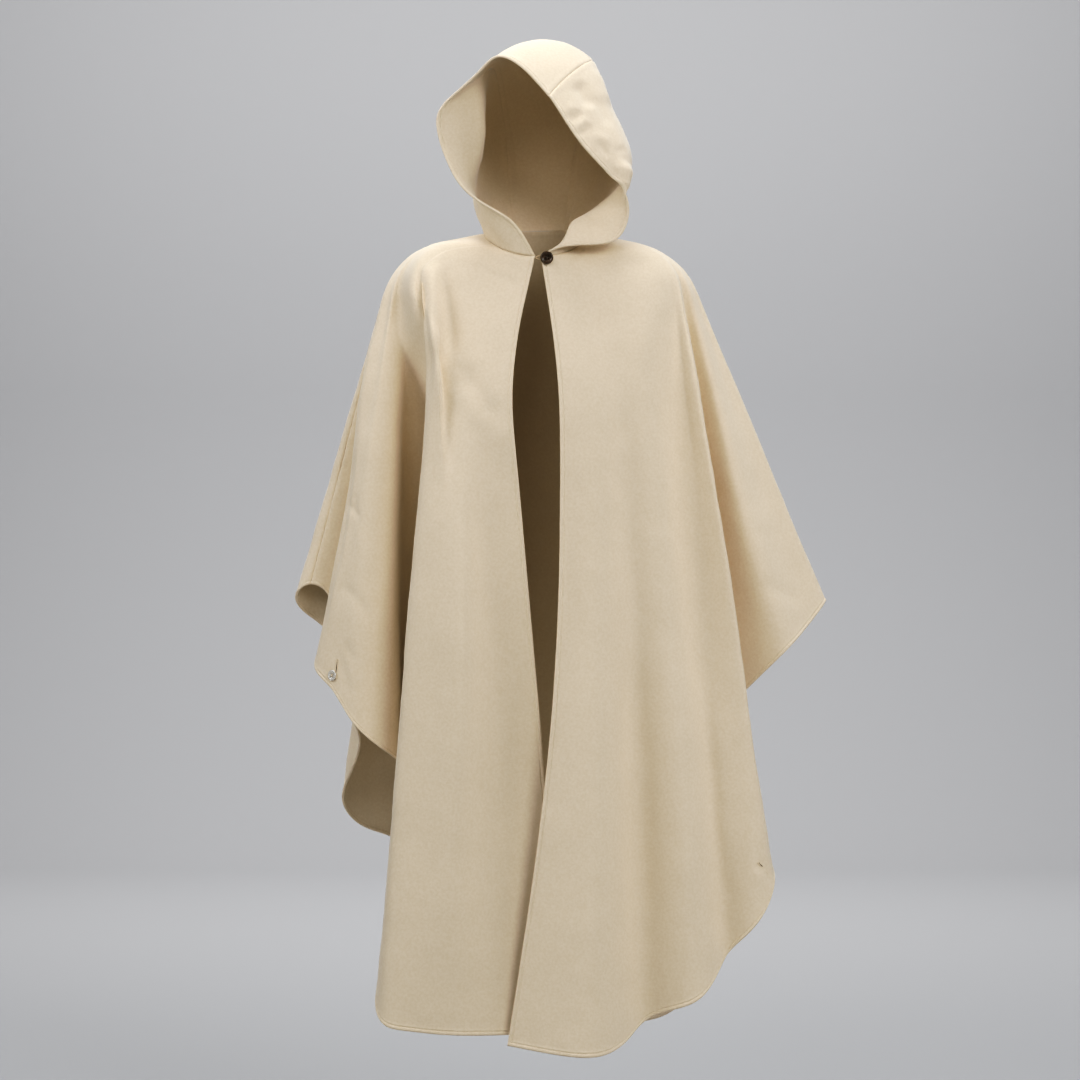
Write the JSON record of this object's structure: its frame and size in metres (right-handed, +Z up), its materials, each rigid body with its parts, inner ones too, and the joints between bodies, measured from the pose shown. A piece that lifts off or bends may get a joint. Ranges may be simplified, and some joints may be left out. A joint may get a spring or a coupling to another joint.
{
  "type": "hooded poncho",
  "caption": "Open-front hooded wool poncho with rounded hem corners, a button and cord loop at the neck, and side buttons under the arms.",
  "frame": {"origin": "inside the neck opening, level with the front of the neck seam, where the wearer's neck and shoulders hold the garment up", "axes": "+Z up, the front faces -Y, +X is the wearer's left"},
  "size_m": [0.7979, 0.4958, 1.5166],
  "materials": {
    "wool": "thick felted wool, matt with a soft short nap",
    "cord": "matt twisted cord",
    "horn": "polished dark horn",
    "clear_button": "clear, glossy"
  },
  "bodies": {
    "root": {"front_right": "wool", "front_left": "wool", "back_right": "wool", "back_middle": "wool", "back_left": "wool", "hood_side_right": "wool", "hood_center": "wool", "hood_side_left": "wool", "button_neck": "horn", "button_loop": "cord", "button_side_right": "clear_button", "button_side_left": "clear_button"}
  },
  "joints": []
}
